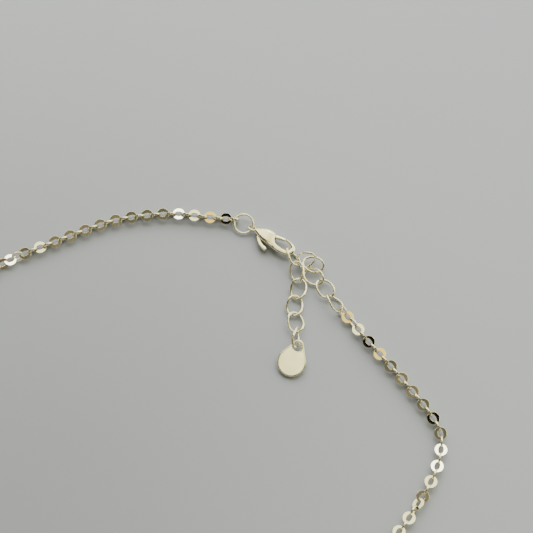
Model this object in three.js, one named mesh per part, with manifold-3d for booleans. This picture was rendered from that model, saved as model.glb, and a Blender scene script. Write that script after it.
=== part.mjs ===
// A fine silver chain anklet, fastened and lying on a flat surface. A chain of pierced round links runs
// from a jump ring and a lobster clasp round to an extension of twisted oval links, whose free end
// carries a teardrop tag. The clasp's hook holds one link of the extension.
// Lengths are millimetres, angles are degrees, +Z is up and the surface is at z = 0.

import * as THREE from "three";
import { mergeVertices } from "three/addons/utils/BufferGeometryUtils.js";
import Module from "manifold-3d";

const wasm = await Module();
wasm.setup();

// Running gap kept between separate pieces.
const PIECE_GAP = 0.06;

// Fine chain: stamped round links, each pierced by a hole that is longer along the chain.
const LINK_DIAMETER = 2.3;
const LINK_THICKNESS = 0.3;
const LINK_SIDES = 10;
const LINK_HOLE_LENGTH = 1.45;
const LINK_HOLE_WIDTH = 0.85;
const LINK_HOLE_FLAT = 0.48;
// Depth by which each link is fused to the next one in the same length of chain.
const LINK_SEAT = 0.05;
// Play between the chain's two end links and the wires that they hang on.
const END_PLAY = 0.22;

// Jump ring between the chain and the clasp.
const RING_DIAMETER = 4.0;
const RING_WIRE = 0.45;
const RING_SEGMENTS = 16;
const RING_HEADING = -26;
const RING_TILT = 12;

// Extension: oval links of round wire, each twisted so that the links lie flat in a row.
const OVAL_LENGTH = 4.35;
const OVAL_WIDTH = 3.3;
const OVAL_WIRE = 0.45;
const OVAL_TWIST = 0.31;
const OVAL_SEGMENTS = 14;
const WIRE_SIDES = 6;

// Lobster clasp, measured from the middle of its eye to the outer end of its hook.
const CLASP_REACH = 9.4;
const CLASP_WIDTH = 2.9;
const CLASP_THICKNESS = 2.0;
const CLASP_BEVEL = 0.22;
const EYE_HOLE = 1.0;
const EYE_WIRE = 0.4;
const EYE_TURN = 38;

// Where the clasp lies: the middle of its eye, its heading, and how far its hook end is propped up.
const EYE_X = -2.7;
const EYE_Y = 7.35;
const CLASP_HEADING = -32;
const CLASP_PITCH = 3;

// Lever of the clasp, and the pin that it turns on.
const LEVER_THICKNESS = 0.7;
const PIN_DIAMETER = 0.52;
const PIN_ALONG = 0.271;
const PIN_ACROSS = 0;
const PIN_SIDES = 12;

// Teardrop tag on the free end.
const TAG_LENGTH = 7.0;
const TAG_WIDTH = 5.3;
const TAG_THICKNESS = 0.8;
const TAG_BEVEL = 0.2;
const TAG_TIP_DIAMETER = 1.9;
const TAG_HOLE = 1.6;
const TAG_HOLE_MARGIN = 0.6;
const TAG_X = 3.6;
const TAG_Y = -20.85;
const TAG_HEADING = 68;
const TAG_PITCH = 10.5;

// Outline of the clasp's body and hook, seen from above. Along is a share of CLASP_REACH from the eye,
// across is a share of CLASP_WIDTH, and positive across is the gate's side.
const CLASP_OUTLINE = [
  { along: 0.058, across: -0.1 },
  { along: 0.14, across: -0.24 },
  { along: 0.28, across: -0.42 },
  { along: 0.45, across: -0.51 },
  { along: 0.64, across: -0.56 },
  { along: 0.79, across: -0.54 },
  { along: 0.905, across: -0.44 },
  { along: 0.975, across: -0.24 },
  { along: 1.0, across: 0.0 },
  { along: 0.98, across: 0.21 },
  { along: 0.915, across: 0.37 },
  { along: 0.82, across: 0.455 },
  { along: 0.713, across: 0.475 },
  { along: 0.747, across: 0.32 },
  { along: 0.82, across: 0.27 },
  { along: 0.873, across: 0.155 },
  { along: 0.893, across: 0.0 },
  { along: 0.867, across: -0.145 },
  { along: 0.787, across: -0.215 },
  { along: 0.68, across: -0.21 },
  { along: 0.585, across: -0.15 },
  { along: 0.53, across: 0.035 },
  { along: 0.513, across: 0.19 },
  { along: 0.49, across: 0.4 },
  { along: 0.35, across: 0.42 },
  { along: 0.223, across: 0.31 },
  { along: 0.14, across: 0.19 },
  { along: 0.058, across: 0.1 },
];

// Height of the clasp seen from its side, as a share of CLASP_THICKNESS.
const CLASP_SIDE = [
  { along: 0.0, height: 0.28 },
  { along: 0.13, height: 0.58 },
  { along: 0.23, height: 0.9 },
  { along: 0.34, height: 1.0 },
  { along: 0.5, height: 0.9 },
  { along: 0.64, height: 0.6 },
  { along: 0.79, height: 0.48 },
  { along: 1.01, height: 0.4 },
];

// Slot inside the body that the lever turns in, open at the thumb tab and at the gate.
const SLOT_OUTLINE = [
  { along: 0.144, across: -1.1 },
  { along: 0.33, across: -1.1 },
  { along: 0.335, across: -0.29 },
  { along: 0.415, across: -0.22 },
  { along: 0.585, across: -0.16 },
  { along: 0.6, across: 0.0 },
  { along: 0.6, across: 0.65 },
  { along: 0.463, across: 0.65 },
  { along: 0.458, across: 0.345 },
  { along: 0.34, across: 0.34 },
  { along: 0.245, across: 0.26 },
  { along: 0.151, across: 0.12 },
];

// The lever seen from above: the gate closes the hook, and the thumb tab stands out at the other side.
const LEVER_OUTLINE = [
  { along: 0.7, across: 0.47 },
  { along: 0.55, across: 0.4 },
  { along: 0.426, across: 0.305 },
  { along: 0.319, across: 0.272 },
  { along: 0.234, across: 0.21 },
  { along: 0.191, across: 0.05 },
  { along: 0.183, across: -0.155 },
  { along: 0.181, across: -0.38 },
  { along: 0.229, across: -0.6 },
  { along: 0.319, across: -0.81 },
  { along: 0.441, across: -0.94 },
  { along: 0.484, across: -0.86 },
  { along: 0.473, across: -0.71 },
  { along: 0.362, across: -0.6 },
  { along: 0.293, across: -0.45 },
  { along: 0.282, across: -0.26 },
  { along: 0.34, across: -0.12 },
  { along: 0.447, across: 0.086 },
  { along: 0.574, across: 0.2 },
  { along: 0.73, across: 0.31 },
];

// The chain's chosen points, from the clasp's side to the extension's side, the long way round.
const CHAIN_ROUTE = [
  [-10.7, 9.3],
  [-16.7, 10.0],
  [-22.7, 9.7],
  [-28.5, 8.7],
  [-34.1, 6.7],
  [-39.7, 4.4],
  [-45.3, 2.1],
  [-50.5, -0.6],
  [-55.0, -4.8],
  [-57.4, -11.0],
  [-58.2, -19.5],
  [-57.6, -29.0],
  [-55.8, -38.5],
  [-51.6, -47.5],
  [-44.8, -54.8],
  [-34.5, -59.6],
  [-21.5, -61.6],
  [-7.0, -61.8],
  [7.5, -60.2],
  [17.0, -55.2],
  [23.9, -47.4],
  [28.0, -41.5],
  [30.3, -36.8],
  [31.1, -32.0],
  [29.5, -28.2],
  [24.4, -21.5],
  [20.4, -16.8],
  [17.0, -12.7],
];

// Roll of the chain about its own line, at shares of its length.
const CHAIN_ROLL = [
  { share: 0.0, roll: 90 },
  { share: 0.16, roll: 90 },
  { share: 0.195, roll: 135 },
  { share: 0.74, roll: 135 },
  { share: 0.785, roll: 90 },
  { share: 0.804, roll: 90 },
  { share: 0.826, roll: 0 },
  { share: 0.968, roll: 0 },
  { share: 1.0, roll: 36 },
];

// The extension's chosen places, in order from the chain to the free end. The clasp holds link 6.
const EXTENSION_PLACES = [
  { x: 12.45, y: -7.3, z: 1.35, heading: -47, pitch: -10, roll: -44 },
  { x: 10.85, y: -4.6, z: 1.15, heading: -52, pitch: 2, roll: 1 },
  { x: 8.8, y: -2.25, z: 1, heading: -29, pitch: 11, roll: 18 },
  { x: 8.7, y: 0, z: 1.25, heading: -12, pitch: -6, roll: 8 },
  { x: 7.3, y: 0.8, z: 1.85, heading: 20, pitch: 32, roll: 35 },
  { x: 4.85, y: 1.55, z: 1.45, heading: -60, pitch: 4, roll: -56 },
  { x: 5.65, y: -1.55, z: 1.45, heading: -84, pitch: -10, roll: 36 },
  { x: 5.9, y: -4.65, z: 0.9, heading: -100, pitch: -4, roll: 8 },
  { x: 5.2, y: -7.8, z: 0.75, heading: -97, pitch: 0, roll: -2 },
  { x: 5.35, y: -10.95, z: 1, heading: -79, pitch: 6, roll: -9 },
  { x: 5.45, y: -13.85, z: 1.65, heading: -97, pitch: 7, roll: -70 },
];

// Materials of the pieces, all of the same pale silver with a polished or a softer finish.
const POLISHED = { color: 0xded9c8, metalness: 1.0, roughness: 0.16 };
const BURNISHED = { color: 0xd3cdb9, metalness: 1.0, roughness: 0.24 };

const TURN = 2 * Math.PI;
const UP = new THREE.Vector3(0, 0, 1);

const radians = THREE.MathUtils.degToRad;

// Points of an arc from one angle to another, both ends included.
function arcPoints(x, y, radius, from, to, steps) {
  const points = [];
  for (let k = 0; k <= steps; k += 1) {
    const angle = radians(from + ((to - from) * k) / steps);
    points.push(new THREE.Vector2(x + radius * Math.cos(angle), y + radius * Math.sin(angle)));
  }
  return points;
}

// Closed polygon with a corner at the phase angle, drawn one way round without repeating the first corner.
function polygon(x, y, radius, sides, phase) {
  return arcPoints(x, y, radius, phase, phase + 360, sides).slice(0, sides);
}

// Plate of one thickness, centred on z = 0, with optional flat bevels inside its outline.
function plate(outline, holes, thickness, bevel) {
  const shape = new THREE.Shape(outline);
  shape.holes = holes.map((points) => new THREE.Path(points));
  const geometry = new THREE.ExtrudeGeometry(shape, {
    depth: thickness - 2 * bevel,
    bevelEnabled: bevel > 0,
    bevelThickness: bevel,
    bevelSize: bevel,
    bevelOffset: -bevel,
    bevelSegments: 1,
  });
  return geometry.translate(0, 0, bevel - thickness / 2);
}

// Solid of a closed geometry, ready to be joined or cut.
function solidOf(geometry) {
  geometry.deleteAttribute("normal");
  geometry.deleteAttribute("uv");
  const merged = mergeVertices(geometry, 1e-4);
  return new wasm.Manifold(
    new wasm.Mesh({
      numProp: 3,
      vertProperties: merged.attributes.position.array,
      triVerts: new Uint32Array(merged.index.array),
    }),
  );
}

// Geometry of a solid.
function geometryOf(solid) {
  const mesh = solid.getMesh();
  const geometry = new THREE.BufferGeometry();
  geometry.setAttribute("position", new THREE.BufferAttribute(mesh.vertProperties, 3));
  geometry.setIndex(new THREE.BufferAttribute(mesh.triVerts, 1));
  geometry.computeVertexNormals();
  return geometry;
}

function namedMesh(name, geometry, finish) {
  const mesh = new THREE.Mesh(geometry, new THREE.MeshStandardMaterial(finish));
  mesh.name = name;
  return mesh;
}

// Place in space: heading in plan, then the pitch of the long axis, then the roll about it.
function placement(place) {
  const turn = new THREE.Matrix4().makeRotationZ(radians(place.heading));
  turn.multiply(new THREE.Matrix4().makeRotationY(-radians(place.pitch)));
  turn.multiply(new THREE.Matrix4().makeRotationX(radians(place.roll)));
  return turn.setPosition(place.x, place.y, place.z);
}

// Centre line of a twisted oval link: its two sides lean opposite ways, so that a row of them lies flat.
class TwistedOval extends THREE.Curve {
  getPoint(t, target = new THREE.Vector3()) {
    const angle = t * TURN;
    return target.set(
      ((OVAL_LENGTH - OVAL_WIRE) / 2) * Math.cos(angle),
      ((OVAL_WIDTH - OVAL_WIRE) / 2) * Math.sin(angle),
      OVAL_TWIST * Math.sin(2 * angle),
    );
  }
}

function extensionLink(name, place) {
  const curve = new TwistedOval();
  const geometry = new THREE.TubeGeometry(curve, OVAL_SEGMENTS, OVAL_WIRE / 2, WIRE_SIDES, true);
  return namedMesh(name, geometry.applyMatrix4(placement(place)), BURNISHED);
}

// The clasp's own frame: its eye is at the origin, +X runs to the hook's end and +Y is the gate's side.
const claspHigh = CLASP_SIDE.reduce((high, row) => (row.height > high.height ? row : high));
const claspLift = Math.sin(radians(CLASP_PITCH)) * claspHigh.along * CLASP_REACH;
const eyeHeight = CLASP_THICKNESS / 2 / Math.cos(radians(CLASP_PITCH)) - claspLift;
const claspPlace = placement({
  x: EYE_X,
  y: EYE_Y,
  z: eyeHeight,
  heading: CLASP_HEADING,
  pitch: CLASP_PITCH,
  roll: 0,
});
const claspPoints = (rows) =>
  rows.map((row) => new THREE.Vector2(row.along * CLASP_REACH, row.across * CLASP_WIDTH));
const pinX = PIN_ALONG * CLASP_REACH;
const pinY = PIN_ACROSS * CLASP_WIDTH;

// Height of the clasp at a share of its reach.
function claspHeight(along) {
  const next = CLASP_SIDE.findIndex((row) => row.along > along);
  const from = CLASP_SIDE[next - 1];
  const to = CLASP_SIDE[next];
  const share = (along - from.along) / (to.along - from.along);
  return CLASP_THICKNESS * (from.height + share * (to.height - from.height));
}

function claspEye() {
  const radius = (EYE_HOLE + EYE_WIRE) / 2;
  const geometry = new THREE.TorusGeometry(radius, EYE_WIRE / 2, WIRE_SIDES, RING_SEGMENTS - 2);
  return solidOf(geometry.rotateX(-radians(EYE_TURN)));
}

// Side view of the clasp as a plate standing on its edge, wide enough to hold the whole body.
function claspSideSolid() {
  const tops = CLASP_SIDE.map(
    (row) => new THREE.Vector2(row.along * CLASP_REACH, (row.height * CLASP_THICKNESS) / 2),
  );
  const bottoms = tops.map((point) => new THREE.Vector2(point.x, -point.y));
  return solidOf(plate([...bottoms, ...tops.reverse()], [], 2 * CLASP_WIDTH, 0).rotateX(Math.PI / 2));
}

function claspBody() {
  const slotHeight = LEVER_THICKNESS + 2 * PIECE_GAP;
  const bore = polygon(pinX, pinY, PIN_DIAMETER / 2 + PIECE_GAP, PIN_SIDES, 0);
  const blank = solidOf(plate(claspPoints(CLASP_OUTLINE), [], CLASP_THICKNESS, CLASP_BEVEL));
  const slot = solidOf(plate(claspPoints(SLOT_OUTLINE), [], slotHeight, 0));
  const drill = solidOf(plate(bore, [], 2 * CLASP_THICKNESS, 0));
  const shaped = blank.intersect(claspSideSolid());
  const body = shaped.subtract(slot).subtract(drill).add(claspEye());
  return namedMesh("clasp_body", geometryOf(body).applyMatrix4(claspPlace), POLISHED);
}

function claspLever() {
  const bore = polygon(pinX, pinY, PIN_DIAMETER / 2 + PIECE_GAP, PIN_SIDES, 0);
  const geometry = plate(claspPoints(LEVER_OUTLINE), [bore], LEVER_THICKNESS, 0);
  return namedMesh("clasp_lever", geometry.applyMatrix4(claspPlace), POLISHED);
}

function claspPin() {
  const length = claspHeight(PIN_ALONG) - PIECE_GAP;
  const geometry = plate(polygon(pinX, pinY, PIN_DIAMETER / 2, PIN_SIDES, 0), [], length, 0);
  return namedMesh("clasp_pin", geometry.applyMatrix4(claspPlace), POLISHED);
}

// Height at which a roll of the chain rests on the surface: either set of links may be the lower one.
function restingHeight(roll) {
  const rise = Math.abs(Math.sin(radians(roll)));
  const run = Math.abs(Math.cos(radians(roll)));
  const reach = (high, low) => (LINK_DIAMETER / 2) * high + (LINK_THICKNESS / 2) * low;
  return Math.max(reach(rise, run), reach(run, rise));
}

// The jump ring threads the clasp's eye at one side and the chain's first link straight across from it.
const ringRadius = (RING_DIAMETER - RING_WIRE) / 2;
const chainStartHeight = restingHeight(CHAIN_ROLL[0].roll);
const ringPitch = -THREE.MathUtils.radToDeg(Math.asin((chainStartHeight - eyeHeight) / (2 * ringRadius)));
const ringReach = ringRadius * Math.cos(radians(ringPitch));
const ringPlace = placement({
  x: EYE_X - ringReach * Math.cos(radians(RING_HEADING)),
  y: EYE_Y - ringReach * Math.sin(radians(RING_HEADING)),
  z: (eyeHeight + chainStartHeight) / 2,
  heading: RING_HEADING,
  pitch: ringPitch,
  roll: RING_TILT,
});

function jumpRing() {
  const geometry = new THREE.TorusGeometry(ringRadius, RING_WIRE / 2, WIRE_SIDES, RING_SEGMENTS);
  return namedMesh("jump_ring", geometry.applyMatrix4(ringPlace), POLISHED);
}

// End of the chain's route: past the wire that its last link hangs on, towards that wire's own ring.
function routeEnd(wire, wireDiameter, next) {
  const jointReach = LINK_HOLE_LENGTH / 2 + LINK_SEAT / 2;
  const wireReach = LINK_HOLE_LENGTH / 2 - wireDiameter / 2 - END_PLAY;
  const away = new THREE.Vector3(wire.x - next[0], wire.y - next[1], 0).normalize();
  return new THREE.Vector3(wire.x, wire.y, 0).addScaledVector(away, jointReach - wireReach);
}

function rollAt(share) {
  const next = Math.max(1, CHAIN_ROLL.findIndex((row) => row.share >= share));
  const from = CHAIN_ROLL[next - 1];
  const to = CHAIN_ROLL[next];
  return THREE.MathUtils.mapLinear(share, from.share, to.share, from.roll, to.roll);
}

// Joints of the chain: each link runs from one joint to the next, and their number is even.
function chainJoints() {
  const ringWire = new THREE.Vector3(-ringRadius, 0, 0).applyMatrix4(ringPlace);
  const ovalTip = new THREE.Vector3((OVAL_LENGTH - OVAL_WIRE) / 2, 0, 0);
  const ovalWire = ovalTip.applyMatrix4(placement(EXTENSION_PLACES[0]));
  const route = new THREE.CatmullRomCurve3(
    [
      routeEnd(ringWire, RING_WIRE, CHAIN_ROUTE[0]),
      ...CHAIN_ROUTE.map(([x, y]) => new THREE.Vector3(x, y, 0)),
      routeEnd(ovalWire, OVAL_WIRE, CHAIN_ROUTE[CHAIN_ROUTE.length - 1]),
    ],
    false,
    "catmullrom",
    0.5,
  );
  route.arcLengthDivisions = 3000;
  const count = 2 * Math.round(route.getLength() / (2 * (LINK_HOLE_LENGTH + LINK_SEAT)));
  const joints = [];
  for (let k = 0; k <= count; k += 1) {
    const joint = route.getPointAt(k / count);
    joint.z = restingHeight(rollAt(k / count));
    joints.push(joint);
  }
  return joints;
}

// One pierced link: flat, centred on the origin, with its hole's long way along X.
function chainLinkSolid() {
  const end = LINK_HOLE_LENGTH / 2;
  const flat = LINK_HOLE_FLAT / 2;
  const hole = [
    new THREE.Vector2(end, flat),
    new THREE.Vector2(0, LINK_HOLE_WIDTH / 2),
    new THREE.Vector2(-end, flat),
    new THREE.Vector2(-end, -flat),
    new THREE.Vector2(0, -LINK_HOLE_WIDTH / 2),
    new THREE.Vector2(end, -flat),
  ];
  const rim = polygon(0, 0, LINK_DIAMETER / 2, LINK_SIDES, 180 / LINK_SIDES);
  return solidOf(plate(rim, [hole], LINK_THICKNESS, 0));
}

// One length of chain, from one link to another, each turned a quarter turn from its neighbour. The end
// link at the meeting is moved along the chain by the given shift, so that it is threaded but not fused.
function chainLength(name, joints, first, last, meeting, shift) {
  const links = [];
  for (let k = first; k <= last; k += 1) {
    const along = new THREE.Vector3().subVectors(joints[k + 1], joints[k]).normalize();
    const side = new THREE.Vector3().crossVectors(UP, along).normalize();
    const up = new THREE.Vector3().crossVectors(along, side);
    const roll = radians(rollAt((k + 0.5) / (joints.length - 1)) + (k % 2) * 90);
    const across = side.clone().multiplyScalar(Math.cos(roll)).addScaledVector(up, Math.sin(roll));
    const normal = new THREE.Vector3().crossVectors(along, across);
    const middle = new THREE.Vector3().addVectors(joints[k], joints[k + 1]).multiplyScalar(0.5);
    middle.addScaledVector(along, k === meeting ? shift : 0);
    const matrix = new THREE.Matrix4().makeBasis(along, across, normal).setPosition(middle);
    links.push(chainLinkSolid().transform(matrix.elements));
  }
  const fused = links.reduce((chain, link) => chain.add(link));
  return namedMesh(name, geometryOf(fused), POLISHED);
}

// Teardrop seen from above: a round lower end, a small round tip, and straight sides that touch both.
function dropTag() {
  const lower = TAG_WIDTH / 2;
  const tip = TAG_TIP_DIAMETER / 2;
  const tipY = TAG_LENGTH - tip;
  const slope = THREE.MathUtils.radToDeg(Math.asin((lower - tip) / (tipY - lower)));
  const outline = [
    ...arcPoints(0, lower, lower, 180 - slope, 360 + slope, 16),
    ...arcPoints(0, tipY, tip, slope, 180 - slope, 5),
  ];
  const hole = polygon(0, TAG_LENGTH - TAG_HOLE_MARGIN - TAG_HOLE / 2, TAG_HOLE / 2, 10, 0);
  const drill = solidOf(plate(hole, [], 2 * TAG_THICKNESS, 0));
  const body = solidOf(plate(outline, [], TAG_THICKNESS, TAG_BEVEL)).subtract(drill);
  const geometry = geometryOf(body).rotateZ(-Math.PI / 2);
  const rest = (TAG_THICKNESS / 2) * Math.cos(radians(TAG_PITCH));
  const place = { x: TAG_X, y: TAG_Y, z: rest, heading: TAG_HEADING, pitch: TAG_PITCH, roll: 0 };
  return namedMesh("drop_tag", geometry.applyMatrix4(placement(place)), POLISHED);
}

const anklet = new THREE.Group();
const joints = chainJoints();
const linkCount = joints.length - 1;
const halfCount = linkCount / 2;
const meetingShift = (LINK_SEAT + PIECE_GAP) / 2;

anklet.add(chainLength("chain_left", joints, 0, halfCount - 1, halfCount - 1, meetingShift));
anklet.add(chainLength("chain_right", joints, halfCount, linkCount - 1, halfCount, -meetingShift));
anklet.add(jumpRing());
anklet.add(claspBody());
anklet.add(claspLever());
anklet.add(claspPin());
EXTENSION_PLACES.forEach((place, k) => anklet.add(extensionLink(`extension_link_${k + 1}`, place)));
anklet.add(dropTag());

// The anklet's origin is on the surface, under the middle of its outline.
const bounds = new THREE.Box3().setFromObject(anklet, true);
const middle = bounds.getCenter(new THREE.Vector3());
anklet.position.set(-middle.x, -middle.y, -bounds.min.z);
anklet.updateMatrixWorld(true);

export default anklet;
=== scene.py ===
"""Looks of the chain anklet: smooth links, wires, clasp and tag in place of the faceted solids."""

import math

import bmesh
import bpy
import numpy as np
from mathutils import Matrix, Vector
from mathutils.geometry import delaunay_2d_cdt


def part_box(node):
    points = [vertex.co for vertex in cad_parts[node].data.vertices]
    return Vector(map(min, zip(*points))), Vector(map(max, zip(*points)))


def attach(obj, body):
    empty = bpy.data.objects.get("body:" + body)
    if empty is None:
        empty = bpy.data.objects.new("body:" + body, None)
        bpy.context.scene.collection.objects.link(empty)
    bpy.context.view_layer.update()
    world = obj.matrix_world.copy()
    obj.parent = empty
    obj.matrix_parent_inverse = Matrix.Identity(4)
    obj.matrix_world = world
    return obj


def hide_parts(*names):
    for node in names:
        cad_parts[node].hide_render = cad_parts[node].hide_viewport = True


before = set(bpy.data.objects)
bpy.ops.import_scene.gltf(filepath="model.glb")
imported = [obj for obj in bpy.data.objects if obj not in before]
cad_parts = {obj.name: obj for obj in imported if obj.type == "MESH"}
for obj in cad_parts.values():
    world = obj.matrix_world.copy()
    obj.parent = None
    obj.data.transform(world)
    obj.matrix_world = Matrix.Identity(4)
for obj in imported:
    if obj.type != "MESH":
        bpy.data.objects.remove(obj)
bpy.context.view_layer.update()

# Lengths are millimetres and angles are degrees, as in the solids, where no comment says metres.
MM = 0.001

# Stamped links. Neighbours sink into each other by the seat, and the end ones hang with a little play.
LINK_DIAMETER = 2.3
LINK_THICKNESS = 0.3
LINK_HOLE_LENGTH = 1.45
LINK_HOLE_WIDTH = 0.9
LINK_HOLE_POWER = 2.2
LINK_EDGE = 0.05
LINK_EDGE_BEND = 0.3
LINK_STEPS = 40
LINK_SEAT = 0.05
END_PLAY = 0.22
PIECE_GAP = 0.06

# A link counts as lying flat, or as standing on edge, by how far its normal points up.
FLAT_ENOUGH = 0.7
UPRIGHT_ENOUGH = 0.3

WIRE_SIDES = 18
WIRE_STEPS = 84

RING_DIAMETER = 4.0
RING_WIRE = 0.45
RING_HEADING = -26
RING_TILT = 12

OVAL_LENGTH = 4.35
OVAL_WIDTH = 3.3
OVAL_WIRE = 0.45
OVAL_TWIST = 0.31

# The edge is how far in the rounding reaches, and the drop is what it takes off each side's height.
CLASP_REACH = 9.4
CLASP_WIDTH = 2.9
CLASP_THICKNESS = 2.0
CLASP_EDGE = 0.5
CLASP_DROP = 0.28
CLASP_SIDE_STEPS = 101
CLASP_SOFTNESS = 21
CLASP_HEADING = -32
CLASP_PITCH = 3
EYE_HOLE = 1.0
EYE_WIRE = 0.4
EYE_TURN = 38
EYE_STEPS = 48
EYE_X = -2.7
EYE_Y = 7.35
SLOT_EDGE = 0.02
SLOT_SPACING = 0.5
LEVER_THICKNESS = 0.7
LEVER_EDGE = 0.14
PIN_DIAMETER = 0.52
PIN_EDGE = 0.06
PIN_STEPS = 28
PIN_DEPTH = 0.15
PIN_ALONG = 0.271
PIN_X = PIN_ALONG * CLASP_REACH
PIN_Y = 0

TAG_LENGTH = 7.0
TAG_WIDTH = 5.3
TAG_THICKNESS = 0.8
TAG_EDGE = 0.22
TAG_TIP_DIAMETER = 1.9
TAG_HOLE = 1.6
TAG_HOLE_MARGIN = 0.6
TAG_SPACING = 0.15
TAG_X = 3.6
TAG_Y = -20.85
TAG_HEADING = 68
TAG_PITCH = 10.5

# Shares of CLASP_REACH along and CLASP_WIDTH across, as in the solids.
CLASP_OUTLINE = [
    (0.058, -0.1), (0.14, -0.24), (0.28, -0.42), (0.45, -0.51), (0.64, -0.56), (0.79, -0.54),
    (0.905, -0.44), (0.975, -0.24), (1.0, 0.0), (0.98, 0.21), (0.915, 0.37), (0.82, 0.455),
    (0.713, 0.475), (0.747, 0.32), (0.82, 0.27), (0.873, 0.155), (0.893, 0.0), (0.867, -0.145),
    (0.787, -0.215), (0.68, -0.21), (0.585, -0.15), (0.53, 0.035), (0.513, 0.19), (0.49, 0.4),
    (0.35, 0.42), (0.223, 0.31), (0.14, 0.19), (0.058, 0.1),
]
CLASP_CORNERS = {0, 12, 13, 23, 27}
SLOT_OUTLINE = [
    (0.144, -1.1), (0.33, -1.1), (0.335, -0.29), (0.415, -0.22), (0.585, -0.16), (0.6, 0.0),
    (0.6, 0.65), (0.463, 0.65), (0.458, 0.345), (0.34, 0.34), (0.245, 0.26), (0.151, 0.12),
]
LEVER_OUTLINE = [
    (0.7, 0.47), (0.55, 0.4), (0.426, 0.305), (0.319, 0.272), (0.234, 0.21), (0.191, 0.05),
    (0.183, -0.155), (0.181, -0.38), (0.229, -0.6), (0.319, -0.81), (0.441, -0.94), (0.484, -0.86),
    (0.473, -0.71), (0.362, -0.6), (0.293, -0.45), (0.282, -0.26), (0.34, -0.12), (0.447, 0.086),
    (0.574, 0.2), (0.73, 0.31),
]
LEVER_CORNERS = {0, 19}

# Shares of CLASP_REACH along and of CLASP_THICKNESS in height.
CLASP_SIDE = [
    (0.0, 0.28), (0.13, 0.58), (0.23, 0.9), (0.34, 1.0), (0.5, 0.9), (0.64, 0.6), (0.79, 0.48),
    (1.01, 0.4),
]

# The chain in plan, from the ring to the extension, and its roll at shares of its length.
CHAIN_ROUTE = [
    (-10.7, 9.3), (-16.7, 10.0), (-22.7, 9.7), (-28.5, 8.7), (-34.1, 6.7), (-39.7, 4.4), (-45.3, 2.1),
    (-50.5, -0.6), (-55.0, -4.8), (-57.4, -11.0), (-58.2, -19.5), (-57.6, -29.0), (-55.8, -38.5),
    (-51.6, -47.5), (-44.8, -54.8), (-34.5, -59.6), (-21.5, -61.6), (-7.0, -61.8), (7.5, -60.2),
    (17.0, -55.2), (23.9, -47.4), (28.0, -41.5), (30.3, -36.8), (31.1, -32.0), (29.5, -28.2),
    (24.4, -21.5), (20.4, -16.8), (17.0, -12.7),
]
CHAIN_ROLL = [
    (0.0, 90), (0.16, 90), (0.195, 135), (0.74, 135), (0.785, 90), (0.804, 90), (0.826, 0),
    (0.968, 0), (1.0, 36),
]
ROUTE_STEPS = 120

# The extension's places, as in the solids: x, y, z, heading, pitch, roll.
EXTENSION_PLACES = [
    (12.45, -7.3, 1.35, -47, -10, -44),
    (10.85, -4.6, 1.15, -52, 2, 1),
    (8.8, -2.25, 1.0, -29, 11, 18),
    (8.7, 0.0, 1.25, -12, -6, 8),
    (7.3, 0.8, 1.85, 20, 32, 35),
    (4.85, 1.55, 1.45, -60, 4, -56),
    (5.65, -1.55, 1.45, -84, -10, 36),
    (5.9, -4.65, 0.9, -100, -4, 8),
    (5.2, -7.8, 0.75, -97, 0, -2),
    (5.35, -10.95, 1.0, -79, 6, -9),
    (5.45, -13.85, 1.65, -97, 7, -70),
]

# What each flat link mirrors, in order from the clasp and from the extension. The room's bands lie at these
# angles from straight up, away from the camera's side.
BANDS = {"black": 11.8, "olive": 8.8, "tan": 6.2, "gold": 15.4, "cream": 21, "white": 30}
LEFT_LOOKS = [
    "black", "gold", "cream", "white", "olive", "olive", "olive", "tan", "tan", "tan", "tan", "tan",
    "cream", "olive", "white",
]
RIGHT_LOOKS = [
    "gold", "cream", "black", "gold", "olive", "tan", "tan", "olive", "black", "olive", "white", "white",
    "cream", "tan", "cream", "cream", "cream", "cream",
]

# Plates: spacing of the points along an outline and inside it, and rows of points across a rounded edge.
OUTLINE_SPACING = 0.12
PLATE_SPACING = 0.22
ROUNDING_STEPS = 5
# A row of a rounded edge keeps the points that have this share of its depth from every outline, and the
# points inside begin this share of their spacing beyond the rounding.
ROOM_FOR_ROW = 0.97
ROOM_FOR_LATTICE = 0.4
# Tangent at a sharp corner, as a share of the side, and the most that a drop takes of half the height.
CORNER_PULL = 0.9
MOST_DROP = 0.9
# Points nearer than the weld are joined. Distances are worked out for so many points at a time.
WELD = 1e-4
NO_LENGTH = 1e-12
CHUNK = 2000
# Edges that turn by more than this stay sharp.
SHARP_EDGE = 40

# Metal. The clouding stains it from one share of the noise to another and makes it smoother or rougher.
SILVER = (0.87, 0.835, 0.65, 1)
SHADED_SILVER = (0.62, 0.56, 0.37, 1)
STAIN_FROM = 0.45
STAIN_TO = 0.85
SMOOTHER = 0.7
ROUGHER = 1.5
SCRATCH_FINENESS = 6
SCRATCH_STRETCH = (1, 6, 1)
SCRATCH_TURN = (0.3, 0.2, 0.5)
SCRATCH_DEPTH = 0.02
DENT_WIDTH = 0.8

# The camera looks along +Y, down at the middle of the photograph's floor.
CAMERA_DISTANCE = 215
CAMERA_ELEVATION = 73
CAMERA_RISE = math.radians(CAMERA_ELEVATION)
CAMERA_PLACE = CAMERA_DISTANCE * np.array([0, -math.cos(CAMERA_RISE), math.sin(CAMERA_RISE)])
FOCAL_PIXELS = 1150
PICTURE_PIXELS = 533
SENSOR_WIDTH = 36
# In metres.
CLIP_START = 0.01

# The floor: half its width in metres, its two mottled colours, and a corner darkened by painted shade,
# placed in millimetres.
FLOOR = 4.0
FLOOR_COLOURS = (0.353, 0.382, 0.480, 1), (0.363, 0.392, 0.490, 1)
FLOOR_MOTTLE = 30
FLOOR_ROUGHNESS = 0.9
FLOOR_SHINE = 0.1
FLOOR_SHADE = (-50, -50)
FLOOR_SHADE_REACH = 110
FLOOR_SHADE_COLOUR = (0.264, 0.283, 0.362, 1)

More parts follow.
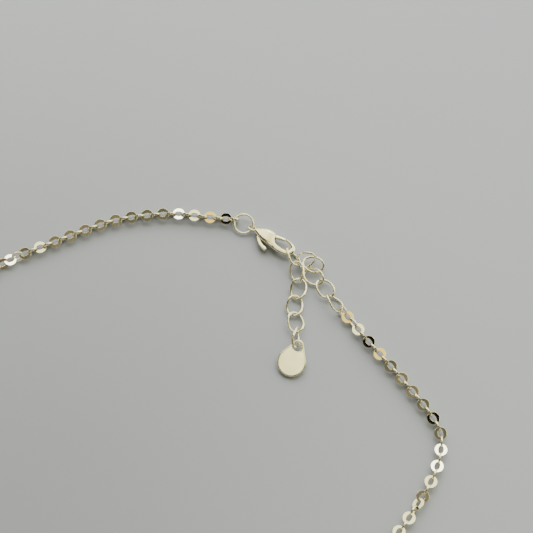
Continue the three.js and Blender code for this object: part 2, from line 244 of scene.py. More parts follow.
# The key light: its place from the middle of the photograph's floor and its size, in metres.
KEY_PLACE = (0.04, 0.25, 0.25)
KEY_SIZE = (0.35, 0.30)
KEY_POWER = 1.45
KEY_COLOUR = (1, 0.97, 0.9)

# The room that the metal mirrors. Bands and plain sky change with the angle from straight up, away from the
# camera's side. The dark changes with the bearing, which is high behind and on the right, as a share of its
# range, and gives way to the sky at the last of its stops.
CREAM = (2.8, 2.72, 1.6)
TAN = (0.27, 0.23, 0.155)
OLIVE = (0.19, 0.185, 0.13)
BLACK = (0.008, 0.006, 0.005)
GOLD = (2.0, 1.45, 0.38)
PALE = (2.7, 2.6, 1.6)
WHITE = (7.0, 6.9, 6.0)
SOFT_WHITE = (3.2, 3.1, 2.0)
BAND_SKY = [
    (-60, CREAM), (4.4, CREAM), (4.8, TAN), (7.4, TAN), (7.7, OLIVE), (9.7, OLIVE), (9.9, BLACK),
    (13.7, BLACK), (14.0, GOLD), (17.0, GOLD), (17.6, PALE), (25, PALE), (26.5, WHITE), (34, WHITE),
    (44, PALE), (70, PALE),
]
PLAIN_SKY = [
    (-60, CREAM),
    (4, CREAM),
    (18, (2.4, 2.3, 1.4)),
    (32, SOFT_WHITE),
    (50, SOFT_WHITE),
    (75, (2.2, 2.1, 1.45)),
]
DARK_SKY = [
    (0.0, (0.25, 0.22, 0.16)),
    (0.22, (0.18, 0.155, 0.115)),
    (0.40, (0.10, 0.085, 0.06)),
    (0.59, (0.05, 0.042, 0.03)),
]
LIT_SKY = [(0.59, (0, 0, 0)), (0.605, (1, 1, 1))]
BEARING_X = 0.42
BEARING_Y = 0.9
STRIP_WIDTH = 0.1
HORIZON_COLOUR = (2.2, 2.15, 1.5)
HORIZON_HEIGHT = 0.17
HORIZON_SLOPE = 0.11
# Pale panels on the dark side, by direction and reach: one that the tag mirrors, and one overhead.
SKY_PANELS = [((-0.12, -0.118, 0.986), 0.12), ((0, 0, 1), 0.15)]


def layout_shift():
    """The solids are centred on their outline. The links' boxes say how far that moves the layout."""
    offsets = []
    for k, place in enumerate(EXTENSION_PLACES):
        low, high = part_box(f"extension_link_{k + 1}")
        offsets.append(np.array((low + high) / 2) / MM - np.array(place[:3]))
    return np.mean(offsets, axis=0)


SHIFT = layout_shift()


# Places and vectors.
def matrix(x, y, z, heading, pitch, roll):
    """Place in space: heading in plan, then the pitch of the long axis, then the roll about it."""
    h, p, r = (math.radians(value) for value in (heading, pitch, roll))
    turn = Matrix.Rotation(h, 4, "Z") @ Matrix.Rotation(-p, 4, "Y") @ Matrix.Rotation(r, 4, "X")
    return np.array(Matrix.Translation((x, y, z)) @ turn)


def moved(points, place):
    return points @ place[:3, :3].T + place[:3, 3]


def unit(vector):
    return vector / np.linalg.norm(vector)


def unit_rows(vectors):
    return vectors / np.linalg.norm(vectors, axis=1)[:, None]


def circle(x, y, radius, steps):
    angles = np.linspace(0, 2 * math.pi, steps, endpoint=False)
    return np.stack([x + radius * np.cos(angles), y + radius * np.sin(angles)], axis=1)


def arc(x, y, radius, start, end, steps):
    angles = np.radians(np.linspace(start, end, steps))
    return np.stack([x + radius * np.cos(angles), y + radius * np.sin(angles)], axis=1)


def curve(start, end, start_pull, end_pull, steps):
    """Points of a cubic curve between two places, but for the end, with the tangents at both."""
    t = np.linspace(0, 1, steps, endpoint=False)[:, None]
    cubic = 2 * start - 2 * end + start_pull + end_pull
    square = -3 * start + 3 * end - 2 * start_pull - end_pull
    return cubic * t**3 + square * t**2 + start_pull * t + start


# Meshes.
def mesh_object(name, points, faces, smooth=True):
    """An object from the layout's points. Smooth is one value, or one for each face."""
    mesh = bpy.data.meshes.new(name)
    places = ((np.asarray(points) + SHIFT) * MM).tolist()
    mesh.from_pydata(places, [], [list(map(int, face)) for face in faces])
    mesh.validate()
    if isinstance(smooth, bool):
        smooth = np.full(len(mesh.polygons), smooth)
    mesh.polygons.foreach_set("use_smooth", smooth)
    mesh.update()
    piece = bpy.data.objects.new(name, mesh)
    bpy.context.scene.collection.objects.link(piece)
    return piece


def grid_faces(rows, columns):
    """Quads of a grid of points that closes on itself both ways."""
    faces = []
    for i in range(rows):
        j = (i + 1) % rows
        for k in range(columns):
            m = (k + 1) % columns
            faces.append((i * columns + k, j * columns + k, j * columns + m, i * columns + m))
    return faces


def wire_loop(centres, radius):
    """Points and faces of a closed round wire along a nearly flat loop of centres."""
    tangents = unit_rows(np.roll(centres, -1, 0) - np.roll(centres, 1, 0))
    up = np.array([0, 0, 1.0])
    normals = unit_rows(up - tangents * (tangents @ up)[:, None])
    sideways = np.cross(tangents, normals)
    angles = np.linspace(0, 2 * math.pi, WIRE_SIDES, endpoint=False)
    cosines, sines = np.cos(angles)[None, :, None], np.sin(angles)[None, :, None]
    rings = normals[:, None] * cosines + sideways[:, None] * sines
    points = centres[:, None] + radius * rings
    return points.reshape(-1, 3), grid_faces(len(centres), WIRE_SIDES)


def ring_centres(radius, steps=WIRE_STEPS):
    return np.column_stack([circle(0, 0, radius, steps), np.zeros(steps)])


def oval_centres():
    angles = np.linspace(0, 2 * math.pi, WIRE_STEPS, endpoint=False)
    return np.stack(
        [
            (OVAL_LENGTH - OVAL_WIRE) / 2 * np.cos(angles),
            (OVAL_WIDTH - OVAL_WIRE) / 2 * np.sin(angles),
            OVAL_TWIST * np.sin(2 * angles),
        ],
        axis=1,
    )


# The clasp's frame: its eye is at the origin, +X runs to the hook's end and +Y is the gate's side.
def clasp_place():
    high_along = max(CLASP_SIDE, key=lambda row: row[1])[0]
    pitch = math.radians(CLASP_PITCH)
    lift = math.sin(pitch) * high_along * CLASP_REACH
    eye_height = CLASP_THICKNESS / 2 / math.cos(pitch) - lift
    return eye_height, matrix(EYE_X, EYE_Y, eye_height, CLASP_HEADING, CLASP_PITCH, 0)


EYE_Z, CLASP_PLACE = clasp_place()


def clasp_points(rows):
    return np.array([(along * CLASP_REACH, across * CLASP_WIDTH) for along, across in rows])


def clasp_half_height(x):
    """Half the clasp's height at each x: the side's outline, with its corners smoothed away."""
    side = np.array(CLASP_SIDE)
    fine = np.linspace(side[0, 0], side[-1, 0], CLASP_SIDE_STEPS)
    raw = np.interp(fine, side[:, 0], side[:, 1])
    kernel = np.hanning(CLASP_SOFTNESS + 2)[1:-1]
    padded = np.pad(raw, CLASP_SOFTNESS // 2, mode="edge")
    soft = np.convolve(padded, kernel / kernel.sum(), mode="valid")
    return CLASP_THICKNESS / 2 * np.interp(x / CLASP_REACH, fine, soft)


# The chain.
def roll_at(share):
    shares, rolls = zip(*CHAIN_ROLL)
    return float(np.interp(share, shares, rolls))


def resting_height(roll):
    """Height of the chain's middle over the surface, where links of both kinds rest on it at this roll."""
    rise = abs(math.sin(math.radians(roll)))
    run = abs(math.cos(math.radians(roll)))
    one = LINK_DIAMETER / 2 * rise + LINK_THICKNESS / 2 * run
    two = LINK_DIAMETER / 2 * run + LINK_THICKNESS / 2 * rise
    return max(one, two)


# The ring threads the clasp's eye at one side and the chain's first link at the other.
RING_RADIUS = (RING_DIAMETER - RING_WIRE) / 2


def ring_place():
    chain_height = resting_height(CHAIN_ROLL[0][1])
    pitch = -math.degrees(math.asin((chain_height - EYE_Z) / (2 * RING_RADIUS)))
    reach = RING_RADIUS * math.cos(math.radians(pitch))
    heading = math.radians(RING_HEADING)
    x, y = EYE_X - reach * math.cos(heading), EYE_Y - reach * math.sin(heading)
    return matrix(x, y, (EYE_Z + chain_height) / 2, RING_HEADING, pitch, RING_TILT)


RING_PLACE = ring_place()


def catmull_rom(points):
    """Points along a curve through the given ones, with tension 0.5 and mirrored end tangents."""
    points = np.array(points, float)
    before = 2 * points[0] - points[1]
    after = 2 * points[-1] - points[-2]
    padded = np.vstack([before, points, after])
    out = []
    for k in range(1, len(padded) - 2):
        p0, p1, p2, p3 = padded[k - 1:k + 3]
        out.append(curve(p1, p2, (p2 - p0) / 2, (p3 - p1) / 2, ROUTE_STEPS))
    return np.vstack(out + [padded[-2:-1]])


def route_end(wire, wire_diameter, neighbour):
    """Where the chain begins or ends, so that its end link's hole holds the wire with some play."""
    joint_reach = LINK_HOLE_LENGTH / 2 + LINK_SEAT / 2
    wire_reach = LINK_HOLE_LENGTH / 2 - wire_diameter / 2 - END_PLAY
    away = unit(np.array(wire[:2]) - np.array(neighbour))
    return np.array(wire[:2]) + away * (joint_reach - wire_reach)


def chain_joints():
    """Places where neighbouring links meet, evenly along the route, with an even number of links."""
    ring_wire = moved(np.array([[-RING_RADIUS, 0, 0]]), RING_PLACE)[0]
    oval_wire = moved(np.array([[(OVAL_LENGTH - OVAL_WIRE) / 2, 0, 0]]), matrix(*EXTENSION_PLACES[0]))[0]
    start = route_end(ring_wire, RING_WIRE, CHAIN_ROUTE[0])
    end = route_end(oval_wire, OVAL_WIRE, CHAIN_ROUTE[-1])
    line = catmull_rom([start, *CHAIN_ROUTE, end])
    lengths = np.concatenate([[0], np.cumsum(np.linalg.norm(np.diff(line, axis=0), axis=1))])
    count = 2 * round(lengths[-1] / (2 * (LINK_HOLE_LENGTH + LINK_SEAT)))
    joints = []
    for k in range(count + 1):
        at = lengths[-1] * k / count
        height = resting_height(roll_at(k / count))
        joints.append((np.interp(at, lengths, line[:, 0]), np.interp(at, lengths, line[:, 1]), height))
    return np.array(joints)


def link_template():
    """A pierced round link, flat, with its hole's long way along X: points, faces and which are smooth."""
    angles = np.linspace(0, 2 * math.pi, LINK_STEPS, endpoint=False)
    outer = circle(0, 0, LINK_DIAMETER / 2, LINK_STEPS)
    power = 2 / LINK_HOLE_POWER
    inner = np.stack(
        [
            LINK_HOLE_LENGTH / 2 * np.sign(np.cos(angles)) * np.abs(np.cos(angles)) ** power,
            LINK_HOLE_WIDTH / 2 * np.sign(np.sin(angles)) * np.abs(np.sin(angles)) ** power,
        ],
        axis=1,
    )
    width = np.linalg.norm(inner - outer, axis=1)
    inward = unit_rows(inner - outer)
    half = LINK_THICKNESS / 2
    soft = LINK_EDGE_BEND * LINK_EDGE
    # Rows of the section: 0 at the rim or 1 at the hole, the way in from there, and the height.
    profile = [
        (0, 0, half - LINK_EDGE),
        (0, soft, half - soft),
        (0, LINK_EDGE, half),
        (1, -LINK_EDGE, half),
        (1, -soft, half - soft),
        (1, 0, half - LINK_EDGE),
    ]
    profile += [(end, offset, -z) for end, offset, z in reversed(profile)]
    points = []
    for end, offset, z in profile:
        flat = outer + inward * (end * width + offset)[:, None]
        points.append(np.column_stack([flat, np.full(LINK_STEPS, z)]))
    points = np.array(points).transpose(1, 0, 2).reshape(-1, 3)
    faces = grid_faces(LINK_STEPS, len(profile))
    # Strips of faces along the section that are flat: the top and the bottom.
    flat_strips = {2, 8}
    smooth = np.array([k not in flat_strips for _ in range(LINK_STEPS) for k in range(len(profile))])
    return points, faces, smooth


def looking_at(place, band):
    """Normal that lets a flat place mirror one band of the room into the camera."""
    angle = math.radians(BANDS[band])
    return unit(unit(CAMERA_PLACE - place) + np.array([0, math.sin(angle), math.cos(angle)]))


def leaning(place, normal):
    """The normal of a link on edge that leans half the way from upright to the camera's view."""
    half_way = unit(unit(CAMERA_PLACE - place) + np.array([0, 0, 1]))
    return unit(normal - (normal @ half_way) * half_way)


def tilted(basis, normal):
    """Basis turned the short way, so that its flat side faces along the normal."""
    flat = basis[:, 2] * np.sign(basis[:, 2] @ normal)
    axis = np.cross(flat, normal)
    angle = math.asin(min(1.0, np.linalg.norm(axis)))
    return np.array(Matrix.Rotation(angle, 3, Vector(axis))) @ basis


def link_basis(joints, k):
    """Axes of one link between its two joints: along the chain, across the link, and its normal."""
    along = unit(joints[k + 1] - joints[k])
    side = unit(np.cross((0, 0, 1), along))
    up = np.cross(along, side)
    roll = math.radians(roll_at((k + 0.5) / (len(joints) - 1)) + (k % 2) * 90)
    across = side * math.cos(roll) + up * math.sin(roll)
    return np.stack([along, across, np.cross(along, across)], axis=1)


def chain_piece(name, joints, numbers, looks, meeting, shift, template):
    """One length of chain. The looks go in turn to the flat links, never to two neighbours, and while
    they last the links on edge lean. The link where the lengths meet is shifted along the chain."""
    points, faces, smooth = template
    all_points, all_faces, all_smooth = [], [], []
    looks = list(looks)
    turned = None
    for k in numbers:
        basis = link_basis(joints, k)
        along, normal = basis[:, 0], basis[:, 2]
        middle = (joints[k] + joints[k + 1]) / 2 + along * (shift if k == meeting else 0)
        beside = turned is not None and abs(k - turned) == 1
        if looks and abs(normal[2]) > FLAT_ENOUGH and not beside:
            basis = tilted(basis, looking_at(middle, looks.pop(0)))
            turned = k
        elif looks and abs(normal[2]) < UPRIGHT_ENOUGH:
            basis = tilted(basis, leaning(middle, normal))
        all_faces.append(np.array(faces) + len(points) * len(all_points))
        all_points.append(points @ basis.T + middle)
        all_smooth.append(smooth)
    return mesh_object(name, np.vstack(all_points), np.vstack(all_faces), np.concatenate(all_smooth))


# Plates.
def smooth_outline(corners, sharp=(), spacing=OUTLINE_SPACING):
    """Closed outline through the given points, curved everywhere but at the sharp ones."""
    points = np.array(corners, float)
    count = len(points)
    out = []
    for k in range(count):
        p0, p1 = points[k - 1], points[k]
        p2, p3 = points[(k + 1) % count], points[(k + 2) % count]
        v1 = (p2 - p1) * CORNER_PULL if k in sharp else (p2 - p0) / 2
        v2 = (p2 - p1) * CORNER_PULL if (k + 1) % count in sharp else (p3 - p1) / 2
        steps = max(2, math.ceil(np.linalg.norm(p2 - p1) / spacing))
        out.append(curve(p1, p2, v1, v2, steps))
    return np.vstack(out)


def inside(points, loop):
    """Which points are inside a closed loop, by counting crossings."""
    ax, ay = loop[:, 0], loop[:, 1]
    bx, by = np.roll(ax, -1), np.roll(ay, -1)
    x, y = points[:, :1], points[:, 1:]
    crosses = (ay > y) != (by > y)
    with np.errstate(divide="ignore", invalid="ignore"):
        at = ax + (y - ay) * (bx - ax) / (by - ay)
    return (crosses & (x < at)).sum(axis=1) % 2 == 1


def within(points, loops):
    """Which points are inside the first loop and outside the others, which are holes."""
    keep = inside(points, loops[0])
    for hole in loops[1:]:
        keep &= ~inside(points, hole)
    return keep


def edge_distance(points, loops):
    """Distance of each point from the nearest edge of the loops."""
    best = np.full(len(points), np.inf)
    for loop in loops:
        along = np.roll(loop, -1, 0) - loop
        squares = np.maximum((along**2).sum(1), NO_LENGTH)
        for start in range(0, len(points), CHUNK):
            chunk = points[start:start + CHUNK, None]
            t = ((chunk - loop) * along).sum(2) / squares
            near = loop + np.clip(t, 0, 1)[:, :, None] * along
            distance = np.linalg.norm(chunk - near, axis=2).min(axis=1)
            best[start:start + CHUNK] = np.minimum(best[start:start + CHUNK], distance)
    return best


def offset_points(loop, depth, loops):
    """Points a depth inside the loop, where the part is wide enough for them."""
    tangent = unit_rows(np.roll(loop, -1, 0) - np.roll(loop, 1, 0))
    normal = np.stack([-tangent[:, 1], tangent[:, 0]], axis=1)
    found = []
    for sign in (1, -1):
        points = loop + sign * depth * normal
        keep = edge_distance(points, loops) > depth * ROOM_FOR_ROW
        found.append(points[keep & within(points, loops)])
    return np.vstack(found)


def plate_mesh(loops, edge, spacing, steps):
    """Flat triangles between the loops, with rows of points where the edge is rounded."""
    rings = [
        offset_points(loop, edge * (1 - math.cos(math.pi / 2 * k / steps)), loops)
        for loop in loops
        for k in range(1, steps + 1)
    ]
    low, high = loops[0].min(0), loops[0].max(0)
    xs = np.arange(low[0], high[0], spacing)
    ys = np.arange(low[1], high[1], spacing)
    lattice = np.stack(np.meshgrid(xs, ys), axis=-1).reshape(-1, 2)
    lattice = lattice[within(lattice, loops)]
    lattice = lattice[edge_distance(lattice, loops) > edge + ROOM_FOR_LATTICE * spacing]
    edges = []
    start = 0
    for loop in loops:
        edges += [(start + k, start + (k + 1) % len(loop)) for k in range(len(loop))]
        start += len(loop)
    flat = np.vstack([*loops, *rings, lattice])
    coords, _, triangles, *_ = delaunay_2d_cdt([Vector(p) for p in flat], edges, [], 0, WELD)
    coords, triangles = np.array([tuple(c) for c in coords]), np.array(triangles)
    triangles = triangles[within(coords[triangles].mean(axis=1), loops)]
    used = np.unique(triangles)
    renumber = np.full(len(coords), -1)
    renumber[used] = np.arange(len(used))
    return coords[used], renumber[triangles]


def rounded_plate(loops, half_height, edge, drop, spacing=PLATE_SPACING, steps=ROUNDING_STEPS):
    """Closed plate with rounded edges and holes: points and faces. Half its thickness comes from
    half_height at each x. The rounding reaches in by the edge and takes the drop off each side's height."""
    coords, triangles = plate_mesh(loops, edge, spacing, steps)
    half = half_height(coords[:, 0])
    reach = np.clip(edge_distance(coords, loops) / edge, 0, 1)
    rise = np.sqrt(np.clip(1 - (1 - reach) ** 2, 0, 1))
    drop = np.minimum(drop, half * MOST_DROP)
    top = half - drop + drop * rise
    count = len(coords)
    points = np.vstack([np.column_stack([coords, top]), np.column_stack([coords, -top])])
    faces = [tuple(t) for t in triangles] + [tuple(t[::-1] + count) for t in triangles]
    # Sides of triangles in order, each once. One without its opposite is on the plate's outline.
    directed = dict.fromkeys(pair for a, b, c in triangles for pair in ((a, b), (b, c), (c, a)))
    for a, b in directed:
        if (b, a) not in directed:
            faces.append((b, a, a + count, b + count))
    return points, faces


def plate_object(name, loops, half_height, edge, drop, place, **options):
    points, faces = rounded_plate(loops, half_height, edge, drop, **options)
    return mesh_object(name, moved(points, place), faces)


def flat_height(thickness):
    return lambda x: np.full(len(x), thickness / 2)


def cut(piece, cutter, operation):
    """Applies one boolean to a piece and removes the cutter."""
    modifier = piece.modifiers.new("cut", "BOOLEAN")
    modifier.operation = operation
    modifier.solver = "EXACT"
    modifier.object = cutter
    graph = bpy.context.evaluated_depsgraph_get()
    mesh = bpy.data.meshes.new_from_object(piece.evaluated_get(graph))
    piece.modifiers.clear()
    piece.data = mesh
    bpy.data.objects.remove(cutter)


def soften(piece):
    """Smooth shading, but for sharp edges."""
    mesh = piece.data
    edit = bmesh.new()
    edit.from_mesh(mesh)
    bmesh.ops.dissolve_degenerate(edit, dist=1e-8, edges=edit.edges)
    for face in edit.faces:
        face.smooth = True
    for edge in edit.edges:
        if len(edge.link_faces) == 2:
            edge.smooth = edge.calc_face_angle(0) < math.radians(SHARP_EDGE)
    edit.to_mesh(mesh)
    edit.free()


# Materials.
def add_node(tree, kind, sockets, **settings):
    """A new node with its settings. Each socket gets a value, or a link from another node's output."""
    node = tree.nodes.new(kind)
    for name, value in settings.items():
        setattr(node, name, value)
    fill(tree, node, sockets)
    return node


def fill(tree, node, sockets):
    for name, value in sockets.items():
        if isinstance(value, bpy.types.NodeSocket):
            tree.links.new(value, node.inputs[name])
        else:
            node.inputs[name].default_value = value


def noise(tree, coords, scale, detail):
    sockets = {"Scale": scale, "Detail": detail, "Vector": coords}
    return add_node(tree, "ShaderNodeTexNoise", sockets).outputs["Fac"]


def mix(tree, share, first, second):
    sockets = {"Factor": share, "A": first, "B": second}
    return add_node(tree, "ShaderNodeMix", sockets, data_type="RGBA").outputs["Result"]


def remap(tree, value, limits, **settings):
    return add_node(tree, "ShaderNodeMapRange", {"Value": value, **limits}, **settings).outputs["Result"]


def silver(name, roughness, grain, relief, stain=0.25, dents=0.0):
    """Pale warm silver with faint clouding and fine scratches. Some has shallow dents, in millimetres."""
    material = bpy.data.materials.new(name)
    material.use_nodes = True
    tree = material.node_tree
    coords = add_node(tree, "ShaderNodeTexCoord", {}).outputs["Object"]
    clouds = noise(tree, coords, grain, detail=5)
    stained = remap(tree, clouds, {"From Min": STAIN_FROM, "From Max": STAIN_TO, "To Max": stain})
    rough = remap(tree, clouds, {"To Min": roughness * SMOOTHER, "To Max": roughness * ROUGHER})
    sockets = {"Scale": SCRATCH_STRETCH, "Rotation": SCRATCH_TURN, "Vector": coords}
    stretch = add_node(tree, "ShaderNodeMapping", sockets)
    scratches = noise(tree, stretch.outputs["Vector"], grain * SCRATCH_FINENESS, detail=3)
    sockets = {"Strength": relief, "Distance": SCRATCH_DEPTH * MM, "Height": scratches}
    bump = add_node(tree, "ShaderNodeBump", sockets)
    if dents:
        waves = noise(tree, coords, 1 / (DENT_WIDTH * MM), detail=1)
        dented = add_node(tree, "ShaderNodeBump", {"Distance": dents * MM, "Height": waves})
        fill(tree, bump, {"Normal": dented.outputs["Normal"]})
    sockets = {
        "Metallic": 1.0,
        "Base Color": mix(tree, stained, SILVER, SHADED_SILVER),
        "Roughness": rough,
        "Normal": bump.outputs["Normal"],
    }
    fill(tree, tree.nodes["Principled BSDF"], sockets)
    return material


POLISHED = silver("polished_silver", roughness=0.16, grain=900, relief=0.04)
STAMPED = silver("stamped_silver", roughness=0.04, grain=700, relief=0.04, stain=0.3)
WIRE = silver("wire_silver", roughness=0.05, grain=800, relief=0.06, stain=0.35, dents=0.1)
TAG_FACE = silver("tag_silver", roughness=0.18, grain=500, relief=0.06, stain=0.1)


def dress(piece, material, body, slot, *nodes):
    piece.data.materials.clear()
    piece.data.materials.append(material)
    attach(piece, body)
    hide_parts(*nodes)


# Pieces.
def add_chain():
    template = link_template()
    joints = chain_joints()
    count = len(joints) - 1
    half = count // 2
    shift = (LINK_SEAT + PIECE_GAP) / 2
    numbers = range(half)
    left = chain_piece("fine_chain_left", joints, numbers, LEFT_LOOKS, half - 1, shift, template)
    numbers = range(count - 1, half - 1, -1)
    right = chain_piece("fine_chain_right", joints, numbers, RIGHT_LOOKS, half, -shift, template)
    dress(left, STAMPED, "anklet", "chain_left", "chain_left")
    dress(right, STAMPED, "anklet", "chain_right", "chain_right")


def add_ring_and_extension():
    points, faces = wire_loop(ring_centres(RING_RADIUS), RING_WIRE / 2)
    ring = mesh_object("round_jump_ring", moved(points, RING_PLACE), faces)
    dress(ring, WIRE, "anklet", "jump_ring", "jump_ring")
    points, faces = wire_loop(oval_centres(), OVAL_WIRE / 2)
    for k, place in enumerate(EXTENSION_PLACES):
        oval = mesh_object(f"oval_link_{k + 1}", moved(points, matrix(*place)), faces)
        dress(oval, WIRE, "anklet", f"extension_link_{k + 1}", f"extension_link_{k + 1}")


def add_clasp_body():
    outline = smooth_outline(clasp_points(CLASP_OUTLINE), CLASP_CORNERS)
    height = clasp_half_height
    body = plate_object("smooth_clasp_body", [outline], height, CLASP_EDGE, CLASP_DROP, CLASP_PLACE)
    outline = smooth_outline(clasp_points(SLOT_OUTLINE), range(len(SLOT_OUTLINE)), SLOT_SPACING)
    height = flat_height(LEVER_THICKNESS + 2 * PIECE_GAP)
    coarse = {"spacing": 1.0, "steps": 1}
    slot = plate_object("slot_cutter", [outline], height, SLOT_EDGE, SLOT_EDGE, CLASP_PLACE, **coarse)
    cut(body, slot, "DIFFERENCE")
    points, faces = wire_loop(ring_centres((EYE_HOLE + EYE_WIRE) / 2, EYE_STEPS), EYE_WIRE / 2)
    turn = np.array(Matrix.Rotation(-math.radians(EYE_TURN), 3, "X"))
    eye = mesh_object("eye_wire", moved(points @ turn.T, CLASP_PLACE), faces)
    cut(body, eye, "UNION")
    soften(body)
    dress(body, POLISHED, "anklet", "clasp_body", "clasp_body")


def add_lever():
    outline = smooth_outline(clasp_points(LEVER_OUTLINE), LEVER_CORNERS)
    bore = circle(PIN_X, PIN_Y, PIN_DIAMETER / 2 + PIECE_GAP, PIN_STEPS)
    height = flat_height(LEVER_THICKNESS)
    lever = plate_object("smooth_clasp_lever", [outline, bore], height, LEVER_EDGE, LEVER_EDGE, CLASP_PLACE)
    soften(lever)
    dress(lever, POLISHED, "lever", "clasp_lever", "clasp_lever")


def add_pin():
    half = float(clasp_half_height(np.array([PIN_X]))[0]) - PIN_DEPTH
    outline = circle(PIN_X, PIN_Y, PIN_DIAMETER / 2, PIN_STEPS)
    height = flat_height(2 * half)
    pin = plate_object("smooth_clasp_pin", [outline], height, PIN_EDGE, PIN_EDGE, CLASP_PLACE, spacing=0.1)
    soften(pin)
    dress(pin, POLISHED, "anklet", "clasp_pin", "clasp_pin")


def tag_outline():
    """Outline of the tag: a round lower end, a small round tip, and straight sides that touch both."""
    lower, tip = TAG_WIDTH / 2, TAG_TIP_DIAMETER / 2
    tip_y = TAG_LENGTH - tip
    slope = math.degrees(math.asin((lower - tip) / (tip_y - lower)))
    lower_arc = arc(0, lower, lower, 180 - slope, 360 + slope, steps=70)
    tip_arc = arc(0, tip_y, tip, slope, 180 - slope, steps=18)
    corners = np.vstack([lower_arc, tip_arc])
    filled = [corners[0]]
    for point in np.vstack([corners[1:], corners[:1]]):
        steps = max(1, round(np.linalg.norm(point - filled[-1]) / TAG_SPACING))
        filled += list(np.linspace(filled[-1], point, steps + 1)[1:])
    return np.array(filled[:-1])


def add_tag():
    hole = circle(0, TAG_LENGTH - TAG_HOLE_MARGIN - TAG_HOLE / 2, TAG_HOLE / 2, steps=40)
    quarter_turn = np.array([[0, 1], [-1, 0]])
    loops = [tag_outline() @ quarter_turn.T, hole @ quarter_turn.T]
    rest = TAG_THICKNESS / 2 * math.cos(math.radians(TAG_PITCH))
    place = matrix(TAG_X, TAG_Y, rest, TAG_HEADING, TAG_PITCH, 0)
    height = flat_height(TAG_THICKNESS)
    tag = plate_object("smooth_drop_tag", loops, height, TAG_EDGE, TAG_EDGE, place)
    soften(tag)
    dress(tag, TAG_FACE, "anklet", "drop_tag", "drop_tag")


# Stage: a plain pale floor, the camera, soft light and the room.
def floor_material():
    """A plain pale surface with painted shade that darkens it towards one corner."""
    material = bpy.data.materials.new("pale_floor")
    material.use_nodes = True
    tree = material.node_tree
    coords = add_node(tree, "ShaderNodeTexCoord", {}).outputs["Object"]
    mottled = mix(tree, noise(tree, coords, FLOOR_MOTTLE, detail=2), *FLOOR_COLOURS)
    # Painted shade: the floor's colour darkens smoothly towards this corner.
    corner = (SHIFT + np.array([*FLOOR_SHADE, 0])) * MM
    distance = add_node(tree, "ShaderNodeVectorMath", {0: coords, 1: corner}, operation="DISTANCE")
    limits = {"From Max": FLOOR_SHADE_REACH * MM}
    away = remap(tree, distance.outputs["Value"], limits, interpolation_type="SMOOTHSTEP")
    sockets = {
        "Base Color": mix(tree, away, FLOOR_SHADE_COLOUR, mottled),
        "Roughness": FLOOR_ROUGHNESS,
        "Specular IOR Level": FLOOR_SHINE,
    }
    fill(tree, tree.nodes["Principled BSDF"], sockets)
    return material


def add_floor():
    mesh = bpy.data.meshes.new("floor")
    corners = [(-FLOOR, -FLOOR, 0), (FLOOR, -FLOOR, 0), (FLOOR, FLOOR, 0), (-FLOOR, FLOOR, 0)]
    mesh.from_pydata(corners, [], [(0, 1, 2, 3)])
    floor = bpy.data.objects.new("floor", mesh)
    bpy.context.scene.collection.objects.link(floor)
    floor.data.materials.append(floor_material())


def add_camera():
    data = bpy.data.cameras.new("camera")
    data.sensor_width = SENSOR_WIDTH
    data.lens = FOCAL_PIXELS / PICTURE_PIXELS * SENSOR_WIDTH
    data.clip_start = CLIP_START
    camera = bpy.data.objects.new("camera", data)
    bpy.context.scene.collection.objects.link(camera)
    camera.location = (SHIFT + CAMERA_PLACE) * MM
    camera.rotation_euler = (math.radians(90) - CAMERA_RISE, 0, 0)
    bpy.context.scene.camera = camera


def add_key_light():
    """A soft panel behind the anklet, aimed at the middle of the photograph's floor. The metal mirrors the
    room in place of it."""
    data = bpy.data.lights.new("key", "AREA")
    data.shape = "RECTANGLE"
    data.size, data.size_y = KEY_SIZE
    data.energy = KEY_POWER
    data.color = KEY_COLOUR
    light = bpy.data.objects.new("key", data)
    light.location = Vector(SHIFT * MM) + Vector(KEY_PLACE)
    light.visible_camera = False
    light.visible_glossy = False
    light.rotation_euler = (-Vector(KEY_PLACE)).to_track_quat("-Z", "Y").to_euler()
    bpy.context.scene.collection.objects.link(light)


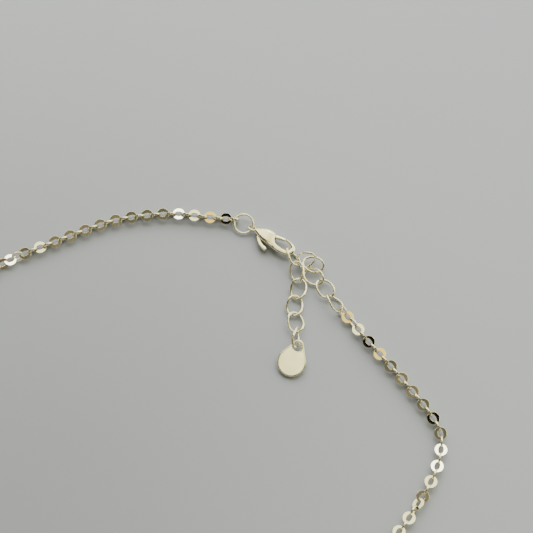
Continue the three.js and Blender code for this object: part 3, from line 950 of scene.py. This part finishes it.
def add_room():
    """The world: bands in a narrow strip from overhead to behind, plain sky beside it and on the right,
    dark in front and on the left but for the panels, and a bright line along the horizon."""
    world = bpy.data.worlds.new("room")
    bpy.context.scene.world = world
    world.use_nodes = True
    tree = world.node_tree
    coords = add_node(tree, "ShaderNodeTexCoord", {}).outputs["Generated"]
    parts = add_node(tree, "ShaderNodeSeparateXYZ", {"Vector": coords}).outputs
    x, y, z = parts["X"], parts["Y"], parts["Z"]

    def calculate(operation, *values):
        node = add_node(tree, "ShaderNodeMath", dict(enumerate(values)), operation=operation)
        return node.outputs["Value"]

    def ramp(value, stops):
        node = add_node(tree, "ShaderNodeValToRGB", {"Fac": value})
        elements = node.color_ramp.elements
        elements[0].position, elements[1].position = stops[0][0], stops[-1][0]
        elements[0].color, elements[1].color = (*stops[0][1], 1), (*stops[-1][1], 1)
        for position, colour in stops[1:-1]:
            elements.new(position).color = (*colour, 1)
        return node.outputs["Color"]

    def sky(stops):
        return ramp(half_turn, [(degrees / 180 + 0.5, colour) for degrees, colour in stops])

    # The angle from straight up, away from the camera, and the bearing, both brought to 0 to 1.
    half_turn = calculate("MULTIPLY_ADD", calculate("ARCTAN2", y, z), 1 / math.pi, 0.5)
    bearing = calculate("MULTIPLY_ADD", y, BEARING_Y, calculate("MULTIPLY", x, BEARING_X))
    share = calculate("MULTIPLY_ADD", bearing, 0.5, 0.5)
    panels = 0
    for direction, reach in SKY_PANELS:
        apart = add_node(tree, "ShaderNodeVectorMath", {0: coords, 1: direction}, operation="DISTANCE")
        panels = calculate("MAXIMUM", calculate("LESS_THAN", apart.outputs["Value"], reach), panels)
    lit = ramp(calculate("MULTIPLY_ADD", panels, 0.5, share), LIT_SKY)
    narrow = calculate("LESS_THAN", calculate("ABSOLUTE", x), STRIP_WIDTH)
    strip = calculate("MULTIPLY", narrow, calculate("GREATER_THAN", y, 0))
    overhead = mix(tree, strip, mix(tree, lit, ramp(share, DARK_SKY), sky(PLAIN_SKY)), sky(BAND_SKY))
    # The bright line is as of windows and pale walls, and higher behind than in front.
    top = calculate("MULTIPLY_ADD", bearing, HORIZON_SLOPE, HORIZON_HEIGHT)
    room = mix(tree, calculate("LESS_THAN", z, top), overhead, (*HORIZON_COLOUR, 1))
    fill(tree, tree.nodes["Background"], {"Color": room, "Strength": 1.0})


add_chain()
add_ring_and_extension()
add_clasp_body()
add_lever()
add_pin()
add_tag()
add_floor()
add_camera()
add_key_light()
add_room()
